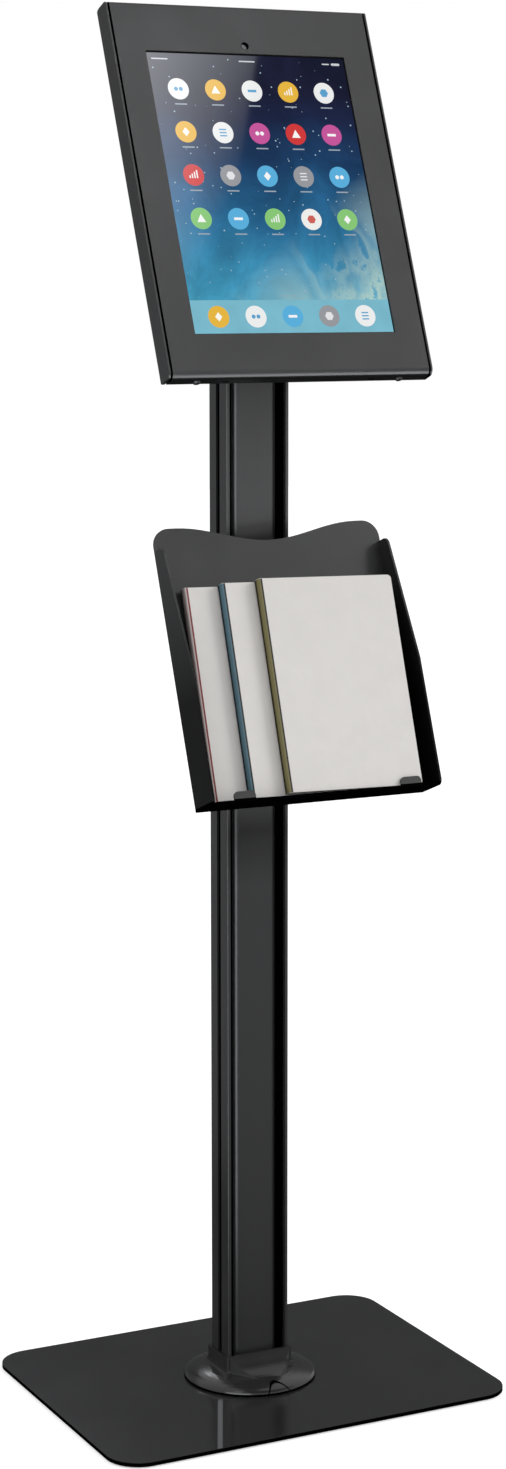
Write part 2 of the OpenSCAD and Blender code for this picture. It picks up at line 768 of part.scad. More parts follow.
module foam_strips() color(rubber_black) at_head() for (s = [-1, 1])
    translate([-foam_w / 2, tab_back + fit, s * foam_z - foam_h / 2])
        cube([foam_w, wall_y - tab_back - fit, foam_h]);

// Brochure tray

module panel_outline() polygon(concat(
    [[-tray_w / 2, 0], [tray_w / 2, 0]],
    arc([tray_w / 2 - tray_r, ear_h - tray_r], tray_r, 0, 90, 8),
    [for (i = [0:24]) let (x = ear_x * (1 - i / 12)) [x, wave(abs(x))]],
    arc([-tray_w / 2 + tray_r, ear_h - tray_r], tray_r, 90, 180, 8)
));

module flange_outline() polygon(concat(
    [[0, 0]],
    arc([-floor_d + tray_floor_r, tray_floor_r], tray_floor_r, 270, 180, 6),
    [[-floor_d, flange_low]],
    arc([-flange_tip + flange_r, flange_top - flange_r], flange_r, 180 - flange_lean, 90, 6),
    [[0, flange_top]]
));

module stop_tab()
    corner_rect(-tab_stop_w / 2, tab_stop_w / 2, 0, tray_t + tab_stop_h, [0, 0, stop_r, stop_r]);

module brochure_tray() color(steel_black) at_tray() {
    difference() {
        along_y(0, tray_t) panel_outline();
        for (x = [-tray_screw_x, tray_screw_x], h = tray_screw_h)
            rod_y(x, h, tray_screw_r + bore_fit, -cut, tray_t + cut);
    }
    for (s = [-1, 1])
        along_x(s > 0 ? tray_w / 2 - tray_t : -tray_w / 2, s > 0 ? tray_w / 2 : tray_t - tray_w / 2) flange_outline();
    linear_extrude(tray_t) corner_rect(-tray_w / 2 + eps, tray_w / 2 - eps, -floor_d, tray_t / 2,
        [tray_foot_r, tray_foot_r, 0, 0]);
    for (s = [-1, 1]) translate([s * tab_stop_x, 0, 0]) along_y(-floor_d, tray_t - floor_d) stop_tab();
}

// Wedge bracket between the tray and the column

module tray_bracket() color(steel_black) difference() {
    union() {
        at_tray() translate([-cheek_out, tray_t, web_low]) cube([2 * cheek_out, web_t, web_high - web_low]);
        for (s = [-1, 1]) along_x(s > 0 ? cheek_x : -cheek_out, s > 0 ? cheek_out : -cheek_x)
            polygon([
                tray_pt(tray_t, web_low), tray_pt(tray_t, web_high),
                [cheek_y, bracket_top], [cheek_y, bracket_low]
            ]);
    }
    at_tray() for (x = [-tray_screw_x, tray_screw_x], h = tray_screw_h)
        rod_y(x, h, tray_screw_r + bore_fit, tray_t - cut, web_back + cut);
    for (z = clamp_z) rod_x(0, z, clamp_r + bore_fit, -cheek_out - cut, cheek_out + cut);
}

module at_tray_screws(back) at_tray() for (x = [-tray_screw_x, tray_screw_x], h = tray_screw_h)
    translate([x, back, h]) children();

module tray_screws() color(zinc) at_tray_screws(0) rotate([90, 0, 0])
    pan_screw(tray_screw_r, tray_head_h, web_back + tray_nut_h + thread_end);

module tray_nuts() color(zinc) at_tray_screws(web_back) rotate([-90, 0, 0])
    hex_nut(tray_screw_r * 2, tray_screw_r + bore_fit, tray_nut_h);

module clamp_screws() color(zinc) for (z = clamp_z, s = [-1, 1]) scale([s, 1, 1])
    translate([cheek_out, 0, z]) rotate([0, 90, 0]) pan_screw(clamp_r, pan_head_h, cheek_out - slot_x - clamp_gap);

module slot_nuts() color(zinc) for (z = clamp_z, s = [-1, 1]) scale([s, 1, 1]) difference() {
    translate([slot_x + fit, -slot_in_w / 2 + fit, z - slot_nut_l / 2])
        cube([slot_in_d - 2 * fit, slot_in_w - 2 * fit, slot_nut_l]);
    rod_x(0, z, clamp_r + bore_fit, slot_x - cut, side_x);
}

// Booklets: a folded cover round a block of pages, leaning a little to the right

module at_book(i) at_tray()
    translate([book_x0 + i * book_step + book_w, -book_in - i * (book_t + book_gap), tray_t])
    rotate([0, book_lean, 0]) translate([-book_w, -book_t, 0]) children();

// Outline of a booklet seen from the front, with its free corners round
module book_outline(inset) along_y(-cut, book_t + cut)
    corner_rect(-cut, book_w - inset, inset, book_h - inset, [0, book_r, book_r, 0]);

module book_cover(i, tint) color(tint) at_book(i) intersection() {
    linear_extrude(book_h) difference() {
        corner_rect(0, book_w, 0, book_t, [spine_r, fore_r, fore_r, spine_r]);
        corner_rect(board_t, book_w + cut, board_t, book_t - board_t,
            [spine_r - board_t, 0, 0, spine_r - board_t]);
    }
    book_outline(0);
}

module book_pages(i) color(paper_white) at_book(i) intersection() {
    linear_extrude(book_h)
        corner_rect(page_side, book_w, page_side, book_t - page_side, [spine_r - page_side, 0, 0, spine_r - page_side]);
    book_outline(page_in);
}

module booklet_rear_cover() book_cover(0, [0.85, 0.78, 0.77]);
module booklet_rear_pages() book_pages(0);
module booklet_middle_cover() book_cover(1, [0.70, 0.77, 0.79]);
module booklet_middle_pages() book_pages(1);
module booklet_front_cover() book_cover(2, cover_grey);
module booklet_front_pages() book_pages(2);

base_plate();
base_mat();
base_screws();
base_collar();
collar_knockout();
column();
tilt_clevis();
clevis_screws();
tilt_bolt();
tilt_nut();
tilt_washers();
tilt_arm();
sliding_disc();
rotation_plate();
plate_screws();
clinch_nuts();
pivot_bolt();
spring_washer();
pivot_nut();
back_shell();
front_cover();
security_screws();
cover_nuts();
corner_pads();
foam_strips();
tablet_case();
tablet_glass();
tablet_camera();
brochure_tray();
tray_bracket();
tray_screws();
tray_nuts();
clamp_screws();
slot_nuts();
booklet_rear_cover();
booklet_rear_pages();
booklet_middle_cover();
booklet_middle_pages();
booklet_front_cover();
booklet_front_pages();
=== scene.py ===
import math
import bmesh
import bpy
from mathutils import Matrix, Vector


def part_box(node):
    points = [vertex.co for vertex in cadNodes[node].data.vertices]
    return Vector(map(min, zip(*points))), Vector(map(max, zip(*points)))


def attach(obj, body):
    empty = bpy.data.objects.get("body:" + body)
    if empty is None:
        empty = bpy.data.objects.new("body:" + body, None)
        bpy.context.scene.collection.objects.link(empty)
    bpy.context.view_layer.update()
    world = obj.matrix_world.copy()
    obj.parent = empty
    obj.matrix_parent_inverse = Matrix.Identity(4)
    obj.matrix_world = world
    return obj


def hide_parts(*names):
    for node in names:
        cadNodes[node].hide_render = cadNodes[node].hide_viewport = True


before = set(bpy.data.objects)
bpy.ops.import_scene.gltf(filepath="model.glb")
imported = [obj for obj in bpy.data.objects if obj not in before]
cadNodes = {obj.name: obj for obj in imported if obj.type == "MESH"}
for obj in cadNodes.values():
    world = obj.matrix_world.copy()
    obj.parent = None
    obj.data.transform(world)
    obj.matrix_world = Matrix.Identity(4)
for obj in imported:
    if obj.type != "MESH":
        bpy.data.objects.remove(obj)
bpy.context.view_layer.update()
mm = 0.001  # the object's sizes are in mm, those of the camera, the studio and the bumps in m
print("stage 1: frame loaded,", len(cadNodes), "nodes")


# Frames of the two tilted parts, as the solids have them: the tilt axis of the head, and the
# lower front edge of the panel of the tray

headLean = {"tilt": 21.9, "y": 8.0, "z": 821.5}
trayLean = {"tilt": 20.7, "y": -93.6, "z": 434.5}


def leanFrame(tilt, y, z):
    return Matrix.Translation((0, y * mm, z * mm)) @ Matrix.Rotation(-math.radians(tilt), 4, "X")


headFrame = leanFrame(**headLean)
trayFrame = leanFrame(**trayLean)


# Camera, fitted to the photograph

cameraView = {
    "place": (-0.904087, -1.798446, 0.78111),
    "yaw": 26.764, "pitch": 8.868, "roll": -0.039,
    "lens": 72.08, "sensor": 36,
}


def makeCamera(view):
    data = bpy.data.cameras.new("viewCamera")
    data.lens = view["lens"]
    data.sensor_width = view["sensor"]
    camera = bpy.data.objects.new("viewCamera", data)
    turn = Matrix.Rotation(-math.radians(view["yaw"]), 4, "Z")
    dip = Matrix.Rotation(math.radians(90 - view["pitch"]), 4, "X")
    roll = Matrix.Rotation(math.radians(view["roll"]), 4, "Z")
    camera.matrix_world = Matrix.Translation(view["place"]) @ turn @ dip @ roll
    bpy.context.collection.objects.link(camera)
    bpy.context.scene.camera = camera


makeCamera(cameraView)


# Helpers for node trees. An input is given as a value or as the socket that feeds it

noiseSpan = (0.3, 0.7)  # nearly all of a noise texture lies between these


def feed(tree, node, inputs):
    for name, value in inputs.items():
        if isinstance(value, bpy.types.NodeSocket):
            tree.links.new(value, node.inputs[name])
        else:
            node.inputs[name].default_value = value


def addNode(tree, kind, inputs=None, **settings):
    made = tree.nodes.new(kind)
    for name, value in settings.items():
        setattr(made, name, value)
    feed(tree, made, inputs or {})
    return made


def mathOf(tree, operation, *values):
    return addNode(tree, "ShaderNodeMath", dict(enumerate(values)), operation=operation).outputs[0]


def mapRange(tree, factor, low, high, fromLow=noiseSpan[0], fromHigh=noiseSpan[1]):
    change = addNode(tree, "ShaderNodeMapRange", {"Value": factor, "From Min": fromLow, "From Max": fromHigh,
                                                  "To Min": low, "To Max": high})
    return change.outputs["Result"]


def blendOf(tree, factor, first, second, way="MIX"):
    mix = addNode(tree, "ShaderNodeMix", {"Factor": factor, "A": first, "B": second},
                  data_type="RGBA", blend_type=way)
    return mix.outputs["Result"]


def noiseAt(tree, source, scale, detail=3.0, rough=0.55, distortion=0.0):
    noise = addNode(tree, "ShaderNodeTexNoise", {"Vector": source, "Scale": scale, "Detail": detail,
                                                 "Roughness": rough, "Distortion": distortion})
    return noise.outputs["Fac"]


def rampOf(tree, factor, stops, interpolation="LINEAR"):
    ramp = addNode(tree, "ShaderNodeValToRGB", {"Fac": factor})
    ramp.color_ramp.interpolation = interpolation
    elements = ramp.color_ramp.elements
    while len(elements) < len(stops):
        elements.new(0.5)
    for element, (position, colour) in zip(elements, stops):
        element.position = position
        element.color = (*colour, 1)
    return ramp.outputs["Color"]


def twoTones(tree, noise, dark, light):
    return rampOf(tree, noise, [(noiseSpan[0], dark), (noiseSpan[1], light)])


def bumpOf(tree, height, distance, strength=1.0, under=None):
    inputs = {"Height": height, "Distance": distance, "Strength": strength}
    if under is not None:
        inputs["Normal"] = under
    return addNode(tree, "ShaderNodeBump", inputs).outputs["Normal"]


def objectSpace(tree, frameMatrix=None, scale=(1, 1, 1), stretch=None):
    source = addNode(tree, "ShaderNodeTexCoord").outputs["Object"]
    if frameMatrix is not None:
        place = {"Vector": source, "Location": frameMatrix.to_translation(),
                 "Rotation": frameMatrix.to_euler(), "Scale": scale}
        source = addNode(tree, "ShaderNodeMapping", place, vector_type="TEXTURE").outputs["Vector"]
    if stretch is not None:
        place = {"Vector": source, "Scale": stretch}
        source = addNode(tree, "ShaderNodeMapping", place, vector_type="POINT").outputs["Vector"]
    return source


def grey(level):
    return (level, level, level)


def shaded(colour, factor):
    return tuple(min(1.0, c * factor) for c in colour)


def newMaterial(name):
    material = bpy.data.materials.new(name)
    material.use_nodes = True
    material.node_tree.nodes.clear()
    return material, material.node_tree


def newFinish(name):
    material, tree = newMaterial(name)
    shader = addNode(tree, "ShaderNodeBsdfPrincipled")
    addNode(tree, "ShaderNodeOutputMaterial", {"Surface": shader.outputs["BSDF"]})
    return material, tree, shader


def dress(piece, material):
    piece.data.materials.clear()
    piece.data.materials.append(material)


# Coats, plastics and metals: a patchy tone and gloss, and a fine grain

def speckledFinish(name, look):
    material, tree, shader = newFinish(name)
    source = objectSpace(tree, stretch=look.get("stretch"))
    patch = noiseAt(tree, source, look["patchScale"], detail=2.0)
    grain = noiseAt(tree, source, look["grainScale"], detail=2.0)
    dark, light = (shaded(look["colour"], 1 + side * look["patchDepth"]) for side in (-1, 1))
    feed(tree, shader, {
        "Base Color": twoTones(tree, patch, dark, light),
        "Roughness": mapRange(tree, patch, *look["rough"]),
        "Normal": bumpOf(tree, grain, look["grainDepth"]),
        "Metallic": look.get("metallic", 0.0),
        "Specular IOR Level": look.get("specular", 0.5),
    })
    return material


powderCoat = {"colour": (0.0145, 0.0145, 0.015), "patchScale": 30, "patchDepth": 0.05,
              "rough": (0.34, 0.41), "specular": 0.4, "grainScale": 1400, "grainDepth": 0.00004}
plateCoat = {"colour": (0.021, 0.021, 0.0215), "patchScale": 14, "patchDepth": 0.05,
             "rough": (0.15, 0.19), "grainScale": 1100, "grainDepth": 0.00002}
# The grain of the column is drawn out along it, as on an extrusion
columnCoat = {"colour": (0.019, 0.019, 0.0195), "patchScale": 26, "patchDepth": 0.05,
              "rough": (0.32, 0.38), "grainScale": 700, "grainDepth": 0.00002, "stretch": (1, 1, 0.03)}
collarPlastic = {"colour": (0.021, 0.021, 0.0215), "patchScale": 40, "patchDepth": 0.06,
                 "rough": (0.16, 0.20), "specular": 0.36, "grainScale": 1800, "grainDepth": 0.00003}
zincPlate = {"colour": (0.60, 0.61, 0.63), "patchScale": 120, "patchDepth": 0.08,
             "rough": (0.25, 0.38), "grainScale": 2600, "grainDepth": 0.00002, "metallic": 1.0}
whiteNylon = {"colour": (0.78, 0.77, 0.72), "patchScale": 60, "patchDepth": 0.03,
              "rough": (0.45, 0.55), "grainScale": 900, "grainDepth": 0.00002}
blackRubber = {"colour": (0.012, 0.012, 0.012), "patchScale": 50, "patchDepth": 0.12,
               "rough": (0.75, 0.9), "grainScale": 500, "grainDepth": 0.0001}
blastedCase = {"colour": (0.62, 0.63, 0.65), "patchScale": 30, "patchDepth": 0.02,
               "rough": (0.35, 0.42), "grainScale": 3000, "grainDepth": 0.00001, "metallic": 1.0}
blackGlass = {"colour": (0.006, 0.006, 0.007), "patchScale": 8, "patchDepth": 0.04,
              "rough": (0.03, 0.045), "grainScale": 60, "grainDepth": 0.000002}
blackSteel = {"colour": (0.028, 0.028, 0.03), "patchScale": 120, "patchDepth": 0.1,
              "rough": (0.3, 0.42), "grainScale": 2600, "grainDepth": 0.00002, "metallic": 0.7}


# Painted shade: places painted black, or nearly so, where shade falls in grooves, seams and recesses and on
# dark sides and undersides. Each is a mask on X, Y and Z of its part

# Colour of the painted shade
shadeBlack = 0.001


def shadeOut(material, maskOf, frameMatrix=None):
    tree = material.node_tree
    shader = next(node for node in tree.nodes if node.type == "BSDF_PRINCIPLED")
    place = addNode(tree, "ShaderNodeSeparateXYZ", {"Vector": objectSpace(tree, frameMatrix)}).outputs
    mask = maskOf(tree, place["X"], place["Y"], place["Z"])
    coat = shader.inputs["Base Color"].links[0].from_socket
    gloss = shader.inputs["Specular IOR Level"].default_value
    feed(tree, shader, {
        "Base Color": blendOf(tree, mask, coat, (*grey(shadeBlack), 1)),
        "Specular IOR Level": mapRange(tree, mask, gloss, 0.0, fromLow=0.0, fromHigh=1.0),
    })
    return material


def below(tree, value, limit):
    return mathOf(tree, "LESS_THAN", value, limit * mm)


def beside(tree, x):
    return mathOf(tree, "ABSOLUTE", x)


def bothOf(tree, first, second):
    return mathOf(tree, "MULTIPLY", first, second)


def eitherOf(tree, first, second):
    return mathOf(tree, "MAXIMUM", first, second)


def bandOf(tree, value, low, high):
    return bothOf(tree, mathOf(tree, "GREATER_THAN", value, low * mm), below(tree, value, high))


def reachOf(tree, x, z, centreZ):
    sides = [x, mathOf(tree, "SUBTRACT", z, centreZ * mm)]
    squares = [mathOf(tree, "POWER", side, 2.0) for side in sides]
    return mathOf(tree, "SQRT", mathOf(tree, "ADD", *squares))


# Painted shade in the grooves beside the front panel of the column, between two distances from the middle
columnGrooves = {"inside": 16.3, "outside": 22.2, "depth": 10.0}


def grooveMask(tree, x, y, z):
    across = bandOf(tree, beside(tree, x), columnGrooves["inside"], columnGrooves["outside"])
    return bothOf(tree, across, below(tree, beside(tree, y), columnGrooves["depth"]))


# Painted shade in the seam, a ring on the front of the collar, and on the rim of the collar
knockOut = {"centreZ": 1.0, "radius": 9.5, "half": 0.4, "front": -30.0, "collarRim": 5.7}


def seamMask(tree, x, y, z):
    ring = bandOf(tree, reachOf(tree, x, z, knockOut["centreZ"]), knockOut["radius"] - knockOut["half"],
                  knockOut["radius"] + knockOut["half"])
    return eitherOf(tree, bothOf(tree, ring, below(tree, y, knockOut["front"])),
                    below(tree, z, knockOut["collarRim"]))


# Painted shade in the seams at the sides of the cover and on the wall of the camera hole, and a lighter
# painted shade on the underside of the chin
coverEdges = {"inside": 0.4, "outside": 0.8, "front": -36.0, "holeZ": 102.5, "holeRadius": 2.85,
              "chinZ": -130.4, "chinShade": 0.8}


def coverMask(tree, x, y, z):
    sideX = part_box("front_cover")[1][0] / mm
    line = bandOf(tree, beside(tree, x), sideX - coverEdges["inside"], sideX + coverEdges["outside"])
    hole = below(tree, reachOf(tree, x, z, coverEdges["holeZ"]), coverEdges["holeRadius"])
    front = bothOf(tree, eitherOf(tree, line, hole), below(tree, y, coverEdges["front"]))
    return eitherOf(tree, front, bothOf(tree, below(tree, z, coverEdges["chinZ"]), coverEdges["chinShade"]))


# Painted shade on the floor of the tray, and on its side flanges, which darken from the height "clear" down
# to "dark"
trayEdges = {"floorTop": 2.2, "flange": 2.4, "dark": 70.0, "clear": 175.0, "shade": 0.85}


def trayMask(tree, x, y, z):
    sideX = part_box("brochure_tray")[1][0] - trayEdges["flange"] * mm
    low = mapRange(tree, z, trayEdges["shade"], 0.0,
                   fromLow=trayEdges["dark"] * mm, fromHigh=trayEdges["clear"] * mm)
    flanges = bothOf(tree, mathOf(tree, "GREATER_THAN", beside(tree, x), sideX), low)
    return eitherOf(tree, flanges, below(tree, z, trayEdges["floorTop"]))


# The side of the base plate, up to this height, gets painted shade
plateSide = 3.7  # height of the dark side of the base plate


def plateMask(tree, x, y, z):
    return below(tree, z, plateSide)


# Card and paper: mottled, with fibres over shallow dents

def paperFinish(name, look):
    material, tree, shader = newFinish(name)
    source = objectSpace(tree)
    mottle = noiseAt(tree, source, look["mottleScale"], detail=4.0, rough=0.6)
    dent = noiseAt(tree, source, look["dentScale"], detail=1.0, rough=0.4)
    fibre = noiseAt(tree, source, look["fibreScale"], detail=5.0, rough=0.7, distortion=0.4)
    dented = bumpOf(tree, dent, look["dentDepth"])
    feed(tree, shader, {
        "Base Color": twoTones(tree, mottle, shaded(look["colour"], look["faint"]), look["colour"]),
        "Normal": bumpOf(tree, fibre, look["fibreDepth"], strength=0.6, under=dented),
        "Roughness": look["rough"],
        "Specular IOR Level": look["gloss"],
    })
    return material


coverCard = {"colour": (0.79, 0.765, 0.74), "faint": 0.96, "mottleScale": 45, "rough": 0.82, "gloss": 0.25,
             "fibreScale": 420, "fibreDepth": 0.00008, "dentScale": 80, "dentDepth": 0.0005}
pagePaper = {"colour": (0.78, 0.77, 0.73), "faint": 0.96, "mottleScale": 200, "rough": 0.82, "gloss": 0.25,
             "fibreScale": 900, "fibreDepth": 0.00005, "dentScale": 200, "dentDepth": 0.00002}
pinkTape = dict(coverCard, colour=(0.60, 0.52, 0.50), fibreScale=700)
tealTape = dict(coverCard, colour=(0.085, 0.17, 0.215), fibreScale=700)
oliveTape = dict(coverCard, colour=(0.20, 0.175, 0.07), fibreScale=700)
redLine = dict(coverCard, colour=(0.19, 0.025, 0.025))
darkLine = dict(coverCard, colour=(0.022, 0.022, 0.02))


# What each CAD node is made of

finishes = {
    "powder": speckledFinish("powderCoat", powderCoat),
    "tray": shadeOut(speckledFinish("trayCoat", powderCoat), trayMask, trayFrame),
    "cover": shadeOut(speckledFinish("coverCoat", powderCoat), coverMask, headFrame),
    "plate": shadeOut(speckledFinish("plateCoat", plateCoat), plateMask),
    "column": shadeOut(speckledFinish("columnCoat", columnCoat), grooveMask),
    "collar": shadeOut(speckledFinish("collarPlastic", collarPlastic), seamMask),
    "zinc": speckledFinish("zincPlate", zincPlate),
    "nylon": speckledFinish("whiteNylon", whiteNylon),
    "rubber": speckledFinish("blackRubber", blackRubber),
    "case": speckledFinish("blastedCase", blastedCase),
    "glass": speckledFinish("blackGlass", blackGlass),
    "steel": speckledFinish("blackSteel", blackSteel),
    "card": paperFinish("coverCard", coverCard),
    "pages": paperFinish("pagePaper", pagePaper),
}
finishNodes = {
    "powder": ["tilt_clevis", "tilt_arm", "rotation_plate", "tray_bracket"],
    "tray": ["brochure_tray"],
    "cover": ["back_shell", "front_cover"],
    "plate": ["base_plate"],
    "column": ["column"],
    "collar": ["base_collar", "collar_knockout"],
    "zinc": ["base_screws", "clevis_screws", "tilt_bolt", "tilt_nut", "clinch_nuts", "pivot_bolt",
             "spring_washer", "pivot_nut", "cover_nuts", "tray_nuts", "slot_nuts"],
    "nylon": ["tilt_washers", "sliding_disc"],
    "rubber": ["base_mat", "corner_pads", "foam_strips"],
    "case": ["tablet_case"],
    "glass": ["tablet_glass", "tablet_camera"],
    "steel": ["plate_screws", "security_screws", "tray_screws", "clamp_screws"],
    "card": ["booklet_rear_cover", "booklet_middle_cover", "booklet_front_cover"],
    "pages": ["booklet_rear_pages", "booklet_middle_pages", "booklet_front_pages"],
}
for finishName, nodeNames in finishNodes.items():
    for nodeName in nodeNames:
        dress(cadNodes[nodeName], finishes[finishName])
print("stage 2: finishes on", sum(len(nodeNames) for nodeNames in finishNodes.values()), "nodes")


# Meshes and pieces made from an outline

def meshFrom(name, bm):
    bmesh.ops.recalc_face_normals(bm, faces=bm.faces)
    mesh = bpy.data.meshes.new(name)
    bm.to_mesh(mesh)
    bm.free()
    return mesh


def slabFrom(outline, low, high, place, axes="xz"):
    bm = bmesh.new()
    if axes == "xz":
        lower = [bm.verts.new((x, low, z)) for x, z in outline]
        upper = [bm.verts.new((x, high, z)) for x, z in outline]
    else:
        lower = [bm.verts.new((x, y, low)) for x, y in outline]
        upper = [bm.verts.new((x, y, high)) for x, y in outline]
    bm.faces.new(lower)
    bm.faces.new(upper)
    for i in range(len(outline)):
        j = (i + 1) % len(outline)
        bm.faces.new((lower[i], lower[j], upper[j], upper[i]))
    bmesh.ops.transform(bm, matrix=place, verts=bm.verts)
    return bm


def flatMesh(name, outline, depth):
    return meshFrom(name, slabFrom(outline, -depth, 0.0, Matrix.Identity(4)))


def boxOutline(x0, x1, z0, z1):
    return [(x0, z0), (x1, z0), (x1, z1), (x0, z1)]


def roundOutline(radius, sides, centreX=0.0):
    angles = [2 * math.pi * i / sides for i in range(sides)]
    return [(centreX + radius * math.cos(angle), radius * math.sin(angle)) for angle in angles]


def pillOutline(x0, x1, z, high, steps=6):
    radius = 0.49 * high  # just under half, so that the ends keep a short edge
    rise = high / 2 - radius
    corners = [(x1 - radius, z + rise, 0), (x0 + radius, z + rise, 90),
               (x0 + radius, z - rise, 180), (x1 - radius, z - rise, 270)]
    points = []
    for x, y, start in corners:
        for i in range(steps + 1):
            angle = math.radians(start + 90 * i / steps)
            points.append(((x + radius * math.cos(angle)) * mm, (y + radius * math.sin(angle)) * mm))
    return points


def addPiece(name, mesh, body, material=None):
    piece = bpy.data.objects.new(name, mesh)
    bpy.context.collection.objects.link(piece)
    if material is not None:
        dress(piece, material)
    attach(piece, body)
    return piece


# Geometry Nodes: a tree with named inputs, grown on an empty host into one plain mesh

def newTree(name, kinds):
    tree = bpy.data.node_groups.new(name, "GeometryNodeTree")
    for socketName, kind in kinds.items():
        tree.interface.new_socket(name=socketName, in_out="INPUT", socket_type="NodeSocket" + kind)
    tree.interface.new_socket(name="Geometry", in_out="OUTPUT", socket_type="NodeSocketGeometry")
    return tree, addNode(tree, "NodeGroupInput").outputs


def realised(tree, instances, material):
    real = addNode(tree, "GeometryNodeRealizeInstances", {"Geometry": instances})
    paint = addNode(tree, "GeometryNodeSetMaterial",
                    {"Geometry": real.outputs["Geometry"], "Material": material})
    addNode(tree, "NodeGroupOutput", {"Geometry": paint.outputs["Geometry"]})


def grow(name, tree, values, body):
    host = bpy.data.objects.new(name + "Host", bpy.data.meshes.new(name + "Host"))
    bpy.context.collection.objects.link(host)
    modifier = host.modifiers.new("growth", "NODES")
    modifier.node_group = tree
    for item in tree.interface.items_tree:
        if item.item_type == "SOCKET" and item.in_out == "INPUT":
            modifier[item.identifier] = values[item.name]
    bpy.context.view_layer.update()
    graph = bpy.context.evaluated_depsgraph_get()
    mesh = bpy.data.meshes.new_from_object(host.evaluated_get(graph), depsgraph=graph)
    mesh.name = name
    host.modifiers.remove(modifier)
    bpy.data.objects.remove(host)
    return addPiece(name, mesh, body)


def shapesOf(tree, collection):
    shapes = addNode(tree, "GeometryNodeCollectionInfo",
                     {"Collection": collection, "Separate Children": True, "Reset Children": True})
    return shapes.outputs["Instances"]


def leaning(tree, geometry, given):
    place = {"Geometry": geometry, "Translation": given["Middle"], "Rotation": given["Lean"]}
    return addNode(tree, "GeometryNodeTransform", place).outputs["Geometry"]


def spanOf(tree, count, pitch):
    return mathOf(tree, "MULTIPLY", mathOf(tree, "SUBTRACT", count, 1), pitch)


def tileTree(material):
    tree, given = newTree("tileGrid", {
        "Columns": "Int", "Rows": "Int", "Pitch X": "Float", "Pitch Z": "Float", "Middle": "Vector",
        "Lean": "Vector", "Shapes": "Collection", "First Shape": "Int", "Tone Step": "Float", "Seed": "Int"})
    grid = addNode(tree, "GeometryNodeMeshGrid", {
        "Vertices X": given["Columns"], "Size X": spanOf(tree, given["Columns"], given["Pitch X"]),
        "Vertices Y": given["Rows"], "Size Y": spanOf(tree, given["Rows"], given["Pitch Z"])})
    upright = addNode(tree, "GeometryNodeTransform",
                      {"Geometry": grid.outputs["Mesh"], "Rotation": (math.pi / 2, 0, 0)})
    order = addNode(tree, "GeometryNodeInputIndex").outputs[0]
    pick = mathOf(tree, "ADD", order, given["First Shape"])
    spread = addNode(tree, "GeometryNodeInstanceOnPoints", {
        "Points": leaning(tree, upright.outputs["Geometry"], given), "Rotation": given["Lean"],
        "Instance": shapesOf(tree, given["Shapes"]), "Pick Instance": True, "Instance Index": pick})
    tone = mathOf(tree, "FRACT", mathOf(tree, "MULTIPLY_ADD", pick, given["Tone Step"], given["Seed"]))
    keep = addNode(tree, "GeometryNodeStoreNamedAttribute",
                   {"Geometry": spread.outputs["Instances"], "Name": "tone", "Value": tone},
                   data_type="FLOAT", domain="INSTANCE")
    realised(tree, keep.outputs["Geometry"], material)
    return tree


def dotTree(material):
    tree, given = newTree("dotScatter", {
        "Count": "Int", "Low": "Vector", "High": "Vector", "Middle": "Vector", "Lean": "Vector",
        "Small": "Float", "Shapes": "Collection", "Seed": "Int"})
    line = addNode(tree, "GeometryNodeMeshLine", {"Count": given["Count"], "Offset": (0, 0, 0)},
                   mode="OFFSET")
    spot = addNode(tree, "FunctionNodeRandomValue",
                   {0: given["Low"], 1: given["High"], "Seed": given["Seed"]}, data_type="FLOAT_VECTOR")
    spread = addNode(tree, "GeometryNodeSetPosition",
                     {"Geometry": line.outputs["Mesh"], "Position": spot.outputs[0]})
    size = addNode(tree, "FunctionNodeRandomValue", {2: given["Small"], "Seed": given["Seed"]},
                   data_type="FLOAT").outputs[1]
    flat = addNode(tree, "ShaderNodeCombineXYZ", {"X": size, "Y": 1.0, "Z": size})
    put = addNode(tree, "GeometryNodeInstanceOnPoints", {
        "Points": leaning(tree, spread.outputs["Geometry"], given), "Rotation": given["Lean"],
        "Instance": shapesOf(tree, given["Shapes"]), "Scale": flat.outputs["Vector"]})
    realised(tree, put.outputs["Instances"], material)
    return tree


def pageTree(material):
    tree, given = newTree("pageStack", {"Count": "Int", "Size": "Vector", "Step": "Float", "Jitter": "Float",
                                        "Seed": "Int", "First": "Vector"})
    step = addNode(tree, "ShaderNodeCombineXYZ", {"Y": given["Step"]}).outputs["Vector"]
    line = addNode(tree, "GeometryNodeMeshLine",
                   {"Count": given["Count"], "Start Location": given["First"], "Offset": step}, mode="OFFSET")
    back = addNode(tree, "ShaderNodeCombineXYZ", {"X": mathOf(tree, "MULTIPLY", given["Jitter"], -1)})
    loose = addNode(tree, "FunctionNodeRandomValue",
                    {0: back.outputs["Vector"], 1: (0, 0, 0), "Seed": given["Seed"]},
                    data_type="FLOAT_VECTOR")
    shift = addNode(tree, "GeometryNodeSetPosition",
                    {"Geometry": line.outputs["Mesh"], "Offset": loose.outputs[0]})
    sheet = addNode(tree, "GeometryNodeMeshCube", {"Size": given["Size"]})
    put = addNode(tree, "GeometryNodeInstanceOnPoints",
                  {"Points": shift.outputs["Geometry"], "Instance": sheet.outputs["Mesh"]})
    realised(tree, put.outputs["Instances"], material)
    return tree


# Lit display: a picture plate on the glass, and over it a generic pattern of round tiles, plain
# marks and bars. Each layer lies one thickness, proud, above the last

